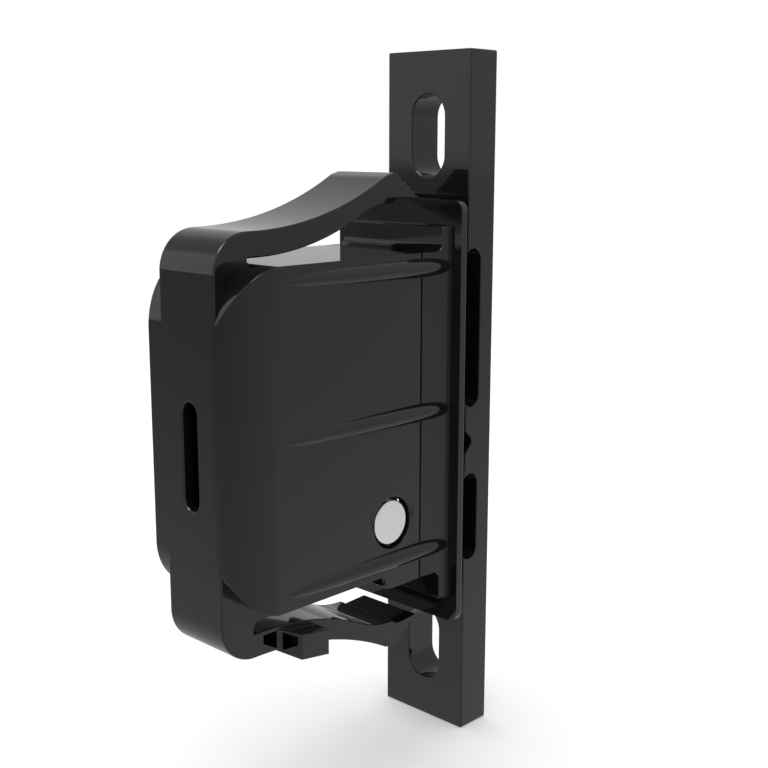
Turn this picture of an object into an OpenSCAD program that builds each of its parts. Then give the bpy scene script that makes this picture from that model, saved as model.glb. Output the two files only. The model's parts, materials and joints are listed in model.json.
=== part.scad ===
// Push-to-close latch: a snap-in latch body holding on its screwed keeper.
// X is the width, Z runs up the keeper and the latch projects along -Y.
// The origin is the middle of the keeper's mounting face.

/* [Keeper plate] */
// Width of the keeper plate
plate_w = 15.8; // [15:0.1:20]
// Height of the keeper plate
plate_h = 101.6; // [98:0.1:130]
// Thickness of the keeper plate
plate_t = 5.8; // [5:0.1:8]
// Radius on the plate's front corners and long edges
plate_r = 0.8; // [0.3:0.1:1.5]
// Distance between the middles of the two screw slots
slot_pitch = 77.8; // [74:0.1:80]
// Width of a screw slot
slot_w = 6.2; // [4:0.1:7]
// Length of a screw slot from end to end
slot_len = 11.7; // [9:0.1:13]
// Depth of the coring pockets in the plate's long sides
pocket_depth = 2.4; // [1:0.1:3]
// Width of a coring pocket
pocket_w = 2.5; // [1.5:0.1:3]

/* [Striker] */
// Diameter of the steel striker pin
striker_d = 4; // [3:0.1:5]
// Gap between the two cheeks that hold the striker pin
cheek_gap = 7.2; // [6.4:0.1:8]
// Thickness of one cheek
cheek_t = 1.8; // [1.4:0.1:2.4]
// Height of the cheeks
cheek_h = 9; // [8:0.1:11]
// Distance from the keeper's back face to the striker pin
striker_reach = 28.6; // [27:0.1:30]
// Height of the striker pin above the keeper's middle
striker_z = 4; // [3:0.1:5]

/* [Latch housing] */
// Distance from the keeper's back face to the front of the housing
front_y = 49.7; // [47:0.1:56]
// Half width of the housing on the ribbed side
near_x = 10.1; // [9.6:0.1:11]
// Half width of the housing on the flat side
far_x = 8.2; // [7.8:0.1:9]
// Height of the housing's top above the keeper's middle
top_z = 23.5; // [21:0.1:24]
// Depth of the housing's bottom below the keeper's middle
bottom_z = 20.4; // [20:0.1:22]
// Wall thickness of the housing
wall = 1.6; // [1.2:0.1:2.2]
// Radius of the long front edge on the ribbed side
edge_r = 5.8; // [3:0.1:6.5]
// Radius of the housing's top and bottom front corners
corner_r = 6.3; // [4:0.1:6.5]
// Distance from the keeper's back face to the joint with the front frame
seam_y = 18.2; // [17.5:0.1:19]
// Open width of that joint line
seam_gap = 0.3; // [0.1:0.05:0.5]
// Radius of a crush rib where it is thickest
rib_r = 1.5; // [1:0.05:1.6]
// Width of the slot in the strap
strap_slot_w = 2.9; // [2:0.1:4]
// Length of the slot in the strap
strap_slot_len = 14; // [8:0.1:20]

/* [Front frame] */
// Width of the flange
flange_w = 23.6; // [23:0.1:30]
// Height of the flange
flange_h = 60.3; // [58:0.1:70]
// Thickness of the flange
flange_t = 1.36; // [1:0.02:2]
// Distance from the keeper's back face to the flange's panel side
flange_y = 13.05; // [12.3:0.05:13.2]
// Corner radius of the flange
flange_r = 1.4; // [0.5:0.1:3]
// Height of the flange's and the collar's middle above the keeper's middle
body_z = 0.2; // [-0.4:0.1:0.6]
// Height of the collar that locates the panel cutout
collar_h = 53.3; // [52:0.1:54]
// Depth of the collar
collar_t = 1.25; // [1:0.05:2]
// How far each side of the frame flares out before the collar
frame_flare = 0.45; // [0.2:0.05:0.6]
// How far each side of the collar flares out beyond that
collar_flare = 0.25; // [0.1:0.05:0.4]
// Width of the mouth that takes the striker
mouth_w = 12.6; // [11.8:0.1:13]
// Height of the mouth's top edge
mouth_top = 16.5; // [14:0.1:18]
// Depth of the mouth's bottom edge
mouth_bottom = 17.6; // [16:0.1:18]

/* [Snap arms] */
// Width of the strap and the snap arms
strap_w = 10.84; // [8:0.1:11]
// Height of the strap's top face
strap_top = 27.5; // [26:0.1:29]
// Outer radius of the strap's corners
strap_r = 5.3; // [4:0.1:6.5]
// Height of the arm's tip
arm_tip_z = 33.95; // [32:0.05:36]
// Distance from the keeper's back face to the tip of the arm
arm_tip_y = 17.8; // [16:0.1:20]
// Number of teeth on the end of an arm
teeth = 5; // [3:1:8]
// Depth of one tooth along the arm
tooth_y = 0.83; // [0.5:0.01:1.2]
// Height of one tooth
tooth_z = 0.64; // [0.4:0.02:0.9]

/* [Pawl and spring] */
// Diameter of the steel pivot pin
pivot_d = 6.3; // [5:0.1:6.8]
// Distance from the keeper's back face to the pivot pin
pivot_y = 23.6; // [22.5:0.1:25]
// Depth of the pivot pin below the keeper's middle
pivot_z = 13; // [12.8:0.1:13.4]
// Thickness of the pawl
pawl_t = 5.4; // [4:0.1:6]
// Outer diameter of the pawl's hub
hub_d = 10.8; // [10.2:0.1:11]
// Diameter of the spring wire
wire_d = 0.9; // [0.7:0.05:1]
// Number of whole coils in the spring, which ends half a coil further
coils = 2; // [1:1:2]

/* [Fits] */
// Clearance all round a turning fit
turn_gap = 0.08; // [0.03:0.01:0.1]
// Clearance all round a pressed or seated fit
seat_gap = 0.02; // [0.01:0.01:0.05]
// Clearance between the striker pin and the pawl's jaw
jaw_gap = 0.6; // [0.5:0.05:0.8]

/* [Hidden] */
$fn = 64;

black = "#2a2a2b";
steel = "#c9c9cb";
brass = "#b39a5e";

// A cut runs this far past the face that it opens
past = 1;
// Faces that are only for cutting overlap by this much
skin = 0.01;

plate_front = -plate_t;
front = -front_y;
seam = -seam_y;
panel_side = -flange_y;
flange_back = panel_side + flange_t;
collar_front = panel_side - collar_t;
// Near side of the front frame in plan, from the joint to the flange
frame_near = [[near_x, seam + seam_gap], [near_x + frame_flare, collar_front],
              [near_x + frame_flare + collar_flare, panel_side]];
pivot = [-pivot_y, -pivot_z];
striker = [-striker_reach, striker_z];
// Lever arm of the pawl at the middle of its swing
lever = striker_z + pivot_z;
// Lowest point of the housing's rear tab
tab_z = bottom_z + 2;
tab_len = 7.2;
tab_r = 1.8;

// The 2D shape stands in the YZ plane and runs from x0 to x1
module along_x(x0, x1) {
    translate([x0, 0, 0]) rotate([90, 0, 90]) linear_extrude(x1 - x0) children();
}

// The 2D shape stands in the XZ plane and runs from y0 to y1
module along_y(y0, y1) {
    translate([0, y1, 0]) rotate([90, 0, 0]) linear_extrude(y1 - y0) children();
}

// The 2D shape lies in the XY plane and runs from z0 to z1
module along_z(z0, z1) {
    translate([0, 0, z0]) linear_extrude(z1 - z0) children();
}

module slab(x0, x1, y0, y1, z0, z1) {
    translate([x0, y0, z0]) cube([x1 - x0, y1 - y0, z1 - z0]);
}

module area(a0, a1, b0, b1) {
    translate([a0, b0]) square([a1 - a0, b1 - b0]);
}

module disc(centre, r) {
    translate(centre) circle(r);
}

module rod_x(centre, r, x0, x1) {
    along_x(x0, x1) disc(centre, r);
}

// A rectangle with rounded corners around the origin
module rounded_area(w, h, r) {
    area(-w / 2 + r, w / 2 - r, -h / 2, h / 2);
    area(-w / 2, w / 2, -h / 2 + r, h / 2 - r);
    for (i = [-1, 1], j = [-1, 1]) disc([i * (w / 2 - r), j * (h / 2 - r)], r);
}

// A slot with round ends, w wide and len high, around the origin
module stadium(w, len) {
    area(-w / 2, w / 2, -(len - w) / 2, (len - w) / 2);
    for (j = [-1, 1]) disc([0, j * (len - w) / 2], w / 2);
}

// Points of an arc from angle a0 to a1
function arc(centre, r, a0, a1, steps) =
    [for (i = [0:steps]) let (a = a0 + (a1 - a0) * i / steps)
        centre + r * [cos(a), sin(a)]];

// Keeper

pocket_y = -4;
pocket_upper = [0.2, 23];
pocket_lower = [-23.6, -10.3];
notch_r = 1.9;
notch_centre = [-6.1, -5.3];

module side_pocket(span) {
    middle = (span[0] + span[1]) / 2;
    translate([pocket_y, middle]) stadium(pocket_w, span[1] - span[0]);
}

module keeper_plate() {
    color(black) difference() {
        intersection() {
            along_z(-plate_h / 2, plate_h / 2) {
                area(-plate_w / 2, plate_w / 2, plate_front + plate_r, 0);
                area(-plate_w / 2 + plate_r, plate_w / 2 - plate_r, plate_front, 0);
                for (i = [-1, 1]) disc([i * (plate_w / 2 - plate_r), plate_front + plate_r], plate_r);
            }
            along_y(plate_front, 0) rounded_area(plate_w, plate_h, plate_r);
        }
        for (j = [-1, 1]) translate([0, 0, j * slot_pitch / 2])
            along_y(plate_front - past, past) stadium(slot_w, slot_len);
        for (i = [-1, 1]) {
            edge = i * plate_w / 2;
            along_x(min(edge, edge - i * pocket_depth) - (i < 0 ? past : 0),
                    max(edge, edge - i * pocket_depth) + (i > 0 ? past : 0)) {
                side_pocket(pocket_upper);
                side_pocket(pocket_lower);
                disc(notch_centre, notch_r);
            }
        }
    }
}

// The cheeks end in a full round about the striker pin
cheek_r = cheek_h / 2;
base_t = 2;
cheek_out = cheek_gap / 2 + cheek_t;
// The pins end this far inside the faces round them
striker_inset = 0.1;
pivot_inset = 0.3;

module cheek_outline() {
    area(striker[0], plate_front, striker_z - cheek_r, striker_z + cheek_r);
    disc(striker, cheek_r);
}

module striker_fork() {
    color(black) {
        difference() {
            union() {
                for (i = [-1, 1]) {
                    inner = i * cheek_gap / 2;
                    outer = i * cheek_out;
                    along_x(min(inner, outer), max(inner, outer)) cheek_outline();
                }
                slab(-cheek_gap / 2 - skin, cheek_gap / 2 + skin, plate_front - base_t, plate_front,
                     striker_z - cheek_r, striker_z + cheek_r);
            }
            rod_x(striker, striker_d / 2 + seat_gap, -cheek_out - past, cheek_out + past);
        }
    }
}

module striker_pin() {
    color(steel) rod_x(striker, striker_d / 2, -cheek_out + striker_inset, cheek_out - striker_inset);
}

// Housing

top_centre = [front + corner_r, top_z - corner_r];
bottom_centre = [front + corner_r, -bottom_z + corner_r];

// Side view of the housing, drawn in by an inset, from the front to the plane y1
module housing_side(inset, y1) {
    area(front + corner_r, y1, -bottom_z + inset, top_z - inset);
    area(front + inset, y1, -bottom_z + corner_r, top_z - corner_r);
    disc(top_centre, corner_r - inset);
    disc(bottom_centre, corner_r - inset);
}

// Plan view of the housing, drawn in by an inset
module housing_plan(inset, y1) {
    area(-far_x + inset, near_x - edge_r, front + inset, y1);
    area(near_x - edge_r - skin, near_x - inset, front + edge_r, y1);
    disc([near_x - edge_r, front + edge_r], edge_r - inset);
}

module housing_block(inset, y1) {
    intersection() {
        along_x(-far_x + inset, near_x - inset) housing_side(inset, y1);
        along_z(-bottom_z + inset, top_z - inset) housing_plan(inset, y1);
    }
}

// The tab under the rear end of the housing
module rear_tab() {
    y0 = seam - tab_len;
    along_x(-far_x, near_x) {
        area(y0, seam, -bottom_z - skin, -bottom_z + wall);
        area(y0, seam, -tab_z + tab_r, -bottom_z);
        area(y0 + tab_r, seam, -tab_z, -bottom_z);
        disc([y0 + tab_r, -tab_z + tab_r], tab_r);
    }
}

// The strap leaves the housing's front above this height and bends over its corner
strap_gap = 0.4;
strap_free_z = 20.6;
strap_centre = [front + strap_r, strap_top - strap_r];
arm_root_z = strap_top - 3.3;
root = strap_centre[0] + 0.1;

// Outer shape of the strap where it bends over a corner of the housing
module strap_bend() {
    area(front, root, top_centre[1] - 2, strap_top - strap_r);
    area(front + strap_r - skin, root, strap_top - strap_r - skin, strap_top);
    intersection() {
        disc(strap_centre, strap_r);
        area(front, front + strap_r, strap_top - strap_r - skin, strap_top);
    }
}

module upper_strap_bend() {
    along_x(-strap_w / 2, strap_w / 2) difference() {
        strap_bend();
        intersection() {
            disc(top_centre, corner_r + strap_gap);
            area(front, 0, strap_free_z, strap_top);
        }
    }
}

// Below, the bend is filled up to the housing's floor and ends in a round slot
fill_len = 3;
fill_z = 22.5;

module lower_strap_bend() {
    slot_r = (arm_root_z - fill_z) / 2;
    along_x(-strap_w / 2, strap_w / 2) {
        difference() {
            mirror([0, 1]) strap_bend();
            disc([root, -fill_z - slot_r], slot_r);
        }
        area(root - 2 * slot_r, root + fill_len, -fill_z, -bottom_z + wall / 2);
    }
}

// A crush rib: part of a long spindle, sunk in the wall, that thickens towards the flange.
// The middle one is at half the housing's height
rib_pitch = 19.9;
rib_heights = [for (i = [-1:1]) (top_z - bottom_z) / 2 + i * rib_pitch];
// Distance from the flange to where the rib is thickest, and from there to its tip
rib_full = 7.8;
rib_taper = 25.5;
rib_steps = 12;
rib_profile = concat([[0, 0], [rib_r, 0]],
                     [for (i = [0:rib_steps]) let (a = 90 * i / rib_steps)
                         [rib_r * cos(a), rib_full + rib_taper * sin(a)]]);

// The crest of a rib ends flush with the collar's edge
module crush_rib(z) {
    crest = near_x + frame_flare + collar_flare;
    translate([crest - rib_r, panel_side, z])
        rotate([90, 0, 0]) rotate_extrude($fn = 36) polygon(rib_profile);
}

// Plan view of where the ribs may be: in the wall, and outside the front frame
module rib_region() {
    rib_limit = near_x + 2 * past;
    area(near_x - wall / 2, rib_limit, front + edge_r, seam);
    polygon(concat([[near_x, seam - skin]], frame_near,
                   [[rib_limit, panel_side], [rib_limit, seam - skin]]));
}

pin_hole_r = pivot_d / 2 + 0.45;
boss_r = 5;
washer_t = 0.4;
boss_end = -pawl_t / 2 - washer_t - 2 * turn_gap;
strap_slot_middle = [-0.1, -0.7];

module housing_shell() {
    color(black) difference() {
        union() {
            difference() {
                union() {
                    housing_block(0, seam);
                    rear_tab();
                    upper_strap_bend();
                    lower_strap_bend();
                    intersection() {
                        for (z = rib_heights) crush_rib(z);
                        along_z(-bottom_z, top_z) rib_region();
                    }
                }
                housing_block(wall, seam + past);
                rod_x(pivot, pin_hole_r, near_x - wall - past, near_x + 2 * past);
            }
            rod_x(pivot, boss_r, -far_x + wall / 2, boss_end);
        }
        rod_x(pivot, pivot_d / 2 + seat_gap, -far_x + wall / 2, boss_end + past);
        translate([strap_slot_middle[0], 0, strap_slot_middle[1]])
            along_y(front - past, front + wall + past) stadium(strap_slot_w, strap_slot_len);
    }
}

// Front frame

frame_bottom = tab_z;
frame_fillet = 1;
flange_x = (near_x - far_x) / 2;
spigot_len = 2.6;
spigot_gap = 0.1;
spigot_foot = -5;

module fillet_at(corner, r, up) {
    low = up > 0 ? skin : r;
    high = up > 0 ? r : skin;
    difference() {
        area(corner[0] - r, corner[0] + skin, corner[1] - low, corner[1] + high);
        disc(corner + [-r, up * r], r);
    }
}

module spigot() {
    inset = wall + spigot_gap;
    difference() {
        intersection() {
            housing_block(inset, seam + seam_gap + skin);
            slab(-far_x, near_x, seam - spigot_len, seam + seam_gap + skin, spigot_foot, top_z);
        }
        slab(-mouth_w / 2, mouth_w / 2, seam - spigot_len - past, seam + past, -bottom_z, mouth_top);
    }
}

module frame_side() {
    area(seam + seam_gap, panel_side, -frame_bottom, top_z);
    area(collar_front, panel_side, body_z - collar_h / 2, body_z + collar_h / 2);
    fillet_at([collar_front, top_z], frame_fillet, 1);
    fillet_at([collar_front, -frame_bottom], frame_fillet, -1);
}

// Plan view of the frame: its sides flare towards the flange
module frame_plan() {
    polygon(concat(frame_near, [for (i = [len(frame_near) - 1:-1:0])
                                    [near_x - far_x - frame_near[i][0], frame_near[i][1]]]));
}

module front_frame() {
    color(black) difference() {
        union() {
            intersection() {
                along_x(-far_x - 2 * past, near_x + 2 * past) frame_side();
                along_z(body_z - collar_h / 2 - past, body_z + collar_h / 2 + past) frame_plan();
            }
            translate([flange_x, 0, body_z]) along_y(panel_side, flange_back)
                rounded_area(flange_w, flange_h, flange_r);
            spigot();
        }
        slab(-mouth_w / 2, mouth_w / 2, seam - past, flange_back + past, -mouth_bottom, mouth_top);
    }
}

// Snap arms

// Radii of the arm's outer face, of its inner face and of the turn near its tip
arm_out_r = 48;
arm_in_r = 40;
arm_turn_r = 14;
// The inner face turns over this far from the keeper's back face
arm_turn_y = 25;
arm_flat = 1.3;
// Straight length at the root of the arm's outer face, and length of its nose
outer_flat = 0.8;
nose_len = 2.2;
nose_flat = 0.8;
nose_drop = 0.05;
// The end of the arm is cut off level at this height
lip_z = 30.4;
lip_len = 1.2;
lip_rise = 0.2;
tooth_lean = 0.15;
tooth_slope = 0.04;
root_gap = 0.05;

arm_bend_y = -root - arm_flat;
outer_bend_y = -root - outer_flat;
turn_angle = asin((arm_bend_y - arm_turn_y) / arm_in_r);
out_angle = asin((outer_bend_y - arm_tip_y - nose_len) / arm_out_r);
in_centre = [-arm_bend_y, arm_root_z + arm_in_r];
turn_centre = in_centre + (arm_in_r + arm_turn_r) * [sin(turn_angle), -cos(turn_angle)];

arm_outer = arc([-outer_bend_y, strap_top + arm_out_r], arm_out_r, -90, -90 + out_angle, 14);
arm_nose = [[-arm_tip_y - nose_flat, arm_tip_z + nose_drop], [-arm_tip_y, arm_tip_z]];
arm_teeth = [for (i = [0:teeth - 1], k = [0, 1])
    [-arm_tip_y + i * tooth_y + k * tooth_lean,
     arm_tip_z - i * tooth_z - k * (tooth_z - tooth_slope)]];
arm_end_y = -arm_tip_y + teeth * tooth_y;
arm_lip = [[arm_end_y, arm_tip_z - teeth * tooth_z], [arm_end_y + root_gap, lip_z],
           [turn_centre[0] + lip_len, lip_z + lip_rise], [turn_centre[0] + lip_len / 2, lip_z]];
arm_turn = arc(turn_centre, arm_turn_r, 90, 90 + turn_angle, 6);
arm_inner = arc(in_centre, arm_in_r, -90 + turn_angle, -90, 12);

module arm_side() {
    polygon(concat([[root + root_gap, strap_top]], arm_outer, arm_nose, arm_teeth, arm_lip,
                   arm_turn, arm_inner, [[root + root_gap, arm_root_z]]));
}

module upper_snap_arm() {
    color(black) along_x(-strap_w / 2, strap_w / 2) arm_side();
}

// The lug by which the lower arm is squeezed stands out on the ribbed side.
// Two windows cored into that side are drawn in the YZ plane
lug_out = 2.2;
lug_foot = 1;
lug_y = [-40.6, -38.2, -33.3];
lug_top = [24.6, 25.5, 26.2];
lug_under = [27.7, 29.1, 29.8];
window_depth = 2.6;
root_window = [[-43, -24.8], [-40.7, -24.8], [-40.7, -27.3], [-43, -26]];
lug_window = [[-40.1, -25.1], [-38.6, -25.8], [-38.6, -27], [-40.1, -27.6]];

module lug_plan() {
    edge = strap_w / 2;
    polygon([[edge - lug_foot, lug_y[0]], [edge, lug_y[0]], [edge + lug_out, lug_y[1]],
             [edge + lug_out, lug_y[2]], [edge - lug_foot, lug_y[2]]]);
}

module lug_side() {
    polygon([for (i = [0:2]) [lug_y[i], -lug_top[i]], for (i = [2:-1:0]) [lug_y[i], -lug_under[i]]]);
}

module lower_snap_arm() {
    edge = strap_w / 2;
    color(black) difference() {
        union() {
            mirror([0, 0, 1]) along_x(-edge, edge) arm_side();
            intersection() {
                along_z(-lug_under[2], -lug_top[0]) lug_plan();
                along_x(edge - lug_foot, edge + lug_out) lug_side();
            }
        }
        along_x(edge - window_depth, edge + past) polygon(root_window);
        along_x(edge - window_depth, edge + lug_out + past) polygon(lug_window);
    }
}

// Pawl and spring

module pivot_pin() {
    color(steel) rod_x(pivot, pivot_d / 2, -far_x + wall / 2, near_x - pivot_inset);
}

bush_wall = 0.9;
bush_r = pivot_d / 2 + turn_gap + bush_wall;
slot_r = striker_d / 2 + jaw_gap;
jaw_t = 3;
head_w = 2 * (slot_r + jaw_t);
// Reach of the jaw's two horns from the pivot
rear_jaw = lever + 2.3;
front_jaw = lever + 3.8;
neck_w = 8;
// The lever leans towards the striker when the latch is shut
lean = atan2(striker_reach - pivot_y, lever);

module pawl_side() {
    difference() {
        union() {
            circle(hub_d / 2);
            area(-neck_w / 2, neck_w / 2, 0, lever - slot_r - 1);
            area(-head_w / 2, head_w / 2, lever - slot_r - jaw_t, rear_jaw - jaw_t / 2);
            area(-head_w / 2, -slot_r, lever, front_jaw - jaw_t / 2);
            disc([slot_r + jaw_t / 2, rear_jaw - jaw_t / 2], jaw_t / 2);
            disc([-slot_r - jaw_t / 2, front_jaw - jaw_t / 2], jaw_t / 2);
        }
        circle(bush_r + seat_gap);
        disc([0, lever], slot_r);
        area(-slot_r, slot_r, lever, front_jaw + past);
    }
}

module pawl() {
    color(black) along_x(-pawl_t / 2, pawl_t / 2) translate(pivot) rotate(lean) pawl_side();
}

module ring_x(centre, r_out, r_in, x0, x1) {
    difference() {
        rod_x(centre, r_out, x0, x1);
        rod_x(centre, r_in, x0 - past, x1 + past);
    }
}

module pawl_bush() {
    color(brass) ring_x(pivot, bush_r, pivot_d / 2 + turn_gap, -pawl_t / 2, pawl_t / 2);
}

washer_r = hub_d / 2 - 0.6;

module thrust_washers() {
    inner = pawl_t / 2 + turn_gap;
    color(steel) {
        ring_x(pivot, washer_r, pivot_d / 2 + turn_gap, -inner - washer_t, -inner);
        ring_x(pivot, washer_r, pivot_d / 2 + turn_gap, inner, inner + washer_t);
    }
}

// The spring is one wire: a straight leg, the coils and a second straight leg
coil_gap = 0.45;
coil_pitch = wire_d + coil_gap;
coil_r = hub_d / 2 - wire_d / 2;
coil_start = pawl_t / 2 + 2 * turn_gap + washer_t + wire_d / 2 + 0.1;
leg_len = 7;
leg_steps = 3;
ring_sides = 6;
rings_per_coil = 8;

spring_first = 0.5;
spring_last = spring_first + coils + 0.5;
function coil_point(t) = [coil_start + coil_pitch * (t - spring_first),
                          pivot[0] + coil_r * cos(360 * t), pivot[1] + coil_r * sin(360 * t)];
function coil_tangent(t) = [0, -sin(360 * t), cos(360 * t)];
spring_path = concat(
    [for (i = [leg_steps:-1:1])
        coil_point(spring_first) - coil_tangent(spring_first) * leg_len * i / leg_steps],
    [for (i = [0:(coils + 0.5) * rings_per_coil]) coil_point(spring_first + i / rings_per_coil)],
    [for (i = [1:leg_steps])
        coil_point(spring_last) + coil_tangent(spring_last) * leg_len * i / leg_steps]);

function unit(v) = v / norm(v);
function path_tangent(path, i) =
    unit(path[min(i + 1, len(path) - 1)] - path[max(i - 1, 0)]);

module tube(path, r, sides) {
    n = len(path);
    points = [for (i = [0:n - 1])
        let (t = path_tangent(path, i), u = unit([1, 0, 0] - t[0] * t), v = cross(t, u))
        for (k = [0:sides - 1])
            path[i] + r * (cos(360 * k / sides) * u + sin(360 * k / sides) * v)];
    sides_faces = [for (i = [0:n - 2], k = [0:sides - 1])
        let (a = i * sides + k, b = i * sides + (k + 1) % sides)
        for (f = [[a, a + sides, b], [b, a + sides, b + sides]]) f];
    start_cap = [for (k = [1:sides - 2]) [0, k, k + 1]];
    end_cap = [for (k = [1:sides - 2]) let (e = (n - 1) * sides) [e, e + k + 1, e + k]];
    polyhedron(points, concat(sides_faces, start_cap, end_cap));
}

module torsion_spring() {
    color(steel) tube(spring_path, wire_d / 2, ring_sides);
}

// Points at least three quarters of a turn apart along the wire are on different turns
apart = ceil(0.75 * rings_per_coil);
wire_gaps = [for (i = [0:len(spring_path) - 1], j = [i + apart:1:len(spring_path) - 1])
    norm(spring_path[i] - spring_path[j]) - wire_d];
echo(str("least gap between two turns of the spring: ", min(wire_gaps), " mm"));

keeper_plate();
striker_fork();
striker_pin();
housing_shell();
front_frame();
upper_snap_arm();
lower_snap_arm();
pivot_pin();
pawl();
pawl_bush();
thrust_washers();
torsion_spring();
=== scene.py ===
import json
import math

import bmesh
import bpy
import numpy as np
from mathutils import Matrix, Vector


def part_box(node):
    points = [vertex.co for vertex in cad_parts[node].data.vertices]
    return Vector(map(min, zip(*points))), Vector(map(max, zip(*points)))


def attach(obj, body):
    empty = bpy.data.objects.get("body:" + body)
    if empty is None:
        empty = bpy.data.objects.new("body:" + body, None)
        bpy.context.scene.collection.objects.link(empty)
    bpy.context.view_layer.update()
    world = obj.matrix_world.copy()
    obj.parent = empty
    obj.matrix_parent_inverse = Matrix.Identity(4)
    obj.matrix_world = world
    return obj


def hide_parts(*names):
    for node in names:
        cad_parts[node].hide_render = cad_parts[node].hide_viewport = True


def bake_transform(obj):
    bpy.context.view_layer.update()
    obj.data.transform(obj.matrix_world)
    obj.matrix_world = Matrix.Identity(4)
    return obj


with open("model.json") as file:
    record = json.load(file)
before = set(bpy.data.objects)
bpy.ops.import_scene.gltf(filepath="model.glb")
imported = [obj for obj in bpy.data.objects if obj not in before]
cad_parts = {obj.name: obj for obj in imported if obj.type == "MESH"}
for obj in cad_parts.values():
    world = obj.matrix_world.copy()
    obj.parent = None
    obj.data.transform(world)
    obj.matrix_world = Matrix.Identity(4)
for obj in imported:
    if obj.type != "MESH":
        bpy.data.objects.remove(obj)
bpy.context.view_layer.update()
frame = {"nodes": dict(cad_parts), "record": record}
mm = 0.001
print("frame loaded:", len(frame["nodes"]), "nodes")


# Colours are written as sRGB hex and turned to linear here
def linear(hexColour):
    values = [int(hexColour[i:i + 2], 16) / 255 for i in (1, 3, 5)]
    return [v / 12.92 if v <= 0.04045 else ((v + 0.055) / 1.055) ** 2.4 for v in values] + [1.0]


# Adds one shader node; settings go by attribute or socket name, links by socket name
def addNode(tree, kind, settings=None, links=None):
    made = tree.nodes.new(kind)
    for key, value in (settings or {}).items():
        if isinstance(key, str) and hasattr(made, key):
            setattr(made, key, value)
        else:
            made.inputs[key].default_value = value
    for key, source in (links or {}).items():
        tree.links.new(source, made.inputs[key])
    return made


# Adds one maths node to numbers and sockets, and gives back its result
def addMath(tree, operation, *terms):
    made = tree.nodes.new("ShaderNodeMath")
    made.operation = operation
    for number, term in enumerate(terms):
        if isinstance(term, (int, float)):
            made.inputs[number].default_value = term
        else:
            tree.links.new(term, made.inputs[number])
    return made.outputs[0]


def newMaterial(name):
    made = bpy.data.materials.new(name)
    made.use_nodes = True
    made.node_tree.nodes.clear()
    return made, made.node_tree


# Camera: solved from the photo's straight edges
camera = {"lens": 56.48, "sensor": 36, "clip": (0.01, 20), "place": (118.4, -138.1, 38.3), "turn": 43.845,
          "down": 11.448, "roll": 0.106}


def makeCamera(c):
    data = bpy.data.cameras.new("camera")
    data.lens = c["lens"]
    data.sensor_width = c["sensor"]
    data.clip_start, data.clip_end = c["clip"]
    made = bpy.data.objects.new("camera", data)
    made.location = Vector(c["place"]) * mm
    turned = Matrix.Rotation(math.radians(c["turn"]), 4, "Z")
    tipped = Matrix.Rotation(math.radians(90 - c["down"]), 4, "X")
    rolled = Matrix.Rotation(math.radians(c["roll"]), 4, "Z")
    made.rotation_euler = (turned @ tipped @ rolled).to_euler()
    bpy.context.scene.collection.objects.link(made)
    bpy.context.scene.camera = made


makeCamera(camera)
print("camera made")

# Studio: a white room with one wide soft lamp over it. Reflections see walls whose grey goes by the Y of the
# direction, bright in front of the latch and dim beside it, and a round softbox overhead
studio = {"room": 0.75, "wallAt": (-0.41, -0.31, -0.1, 0.06, 0.3), "wall": (0.94, 0.47, 0.42, 0.44, 0.65),
          "box": (-0.07, -0.42, 0.905), "boxEdge": (0.946, 0.98), "boxLight": 16.0}
lamp = {"place": (-40, -60, 420), "aim": (0, -20, 0), "size": 500, "power": 1.6}


def makeStudio(s):
    world = bpy.data.worlds.new("whiteRoom")
    bpy.context.scene.world = world
    world.use_nodes = True
    tree = world.node_tree
    tree.nodes.clear()
    path = addNode(tree, "ShaderNodeLightPath")
    mirrored = addNode(tree, "ShaderNodeMath", {"operation": "MAXIMUM"},
                       {0: path.outputs["Is Glossy Ray"], 1: path.outputs["Is Transmission Ray"]})
    direction = addNode(tree, "ShaderNodeTexCoord")
    part = addNode(tree, "ShaderNodeSeparateXYZ", None, {0: direction.outputs["Generated"]})
    along = addNode(tree, "ShaderNodeMapRange", {"From Min": -1.0, "From Max": 1.0},
                    {"Value": part.outputs["Y"]})
    ramp = addNode(tree, "ShaderNodeValToRGB", None, {0: along.outputs[0]})
    stops = ramp.color_ramp.elements
    for number, (at, grey) in enumerate(zip(s["wallAt"], s["wall"])):
        stop = stops[number] if number < 2 else stops.new((at + 1) / 2)
        stop.position = (at + 1) / 2
        stop.color = (grey, grey, grey, 1)
    toBox = addNode(tree, "ShaderNodeVectorMath",
                    {"operation": "DOT_PRODUCT", 1: Vector(s["box"]).normalized()},
                    {0: direction.outputs["Generated"]})
    low, high = s["boxEdge"]
    box = addNode(tree, "ShaderNodeMapRange", {"interpolation_type": "SMOOTHSTEP", "From Min": low,
                                               "From Max": high, "To Min": 1.0, "To Max": s["boxLight"]},
                  {"Value": toBox.outputs["Value"]})
    room = addNode(tree, "ShaderNodeBackground", {"Color": linear("#ffffff"), "Strength": s["room"]})
    sky = addNode(tree, "ShaderNodeBackground", None, {"Color": ramp.outputs[0], "Strength": box.outputs[0]})
    white = addNode(tree, "ShaderNodeBackground", {"Color": linear("#ffffff"), "Strength": 1.0})
    mixed = addNode(tree, "ShaderNodeMixShader", None,
                    {0: mirrored.outputs[0], 1: room.outputs[0], 2: sky.outputs[0]})
    mixed = addNode(tree, "ShaderNodeMixShader", None,
                    {0: path.outputs["Is Camera Ray"], 1: mixed.outputs[0], 2: white.outputs[0]})
    addNode(tree, "ShaderNodeOutputWorld", None, {"Surface": mixed.outputs[0]})


def makeLamp(s):
    data = bpy.data.lights.new("softLamp", "AREA")
    data.shape = "SQUARE"
    data.size = s["size"] * mm
    data.energy = s["power"]
    made = bpy.data.objects.new("softLamp", data)
    made.location = Vector(s["place"]) * mm
    aim = Vector(s["aim"]) - Vector(s["place"])
    made.rotation_euler = aim.to_track_quat("-Z", "Y").to_euler()
    made.visible_glossy = False
    bpy.context.scene.collection.objects.link(made)


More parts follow.
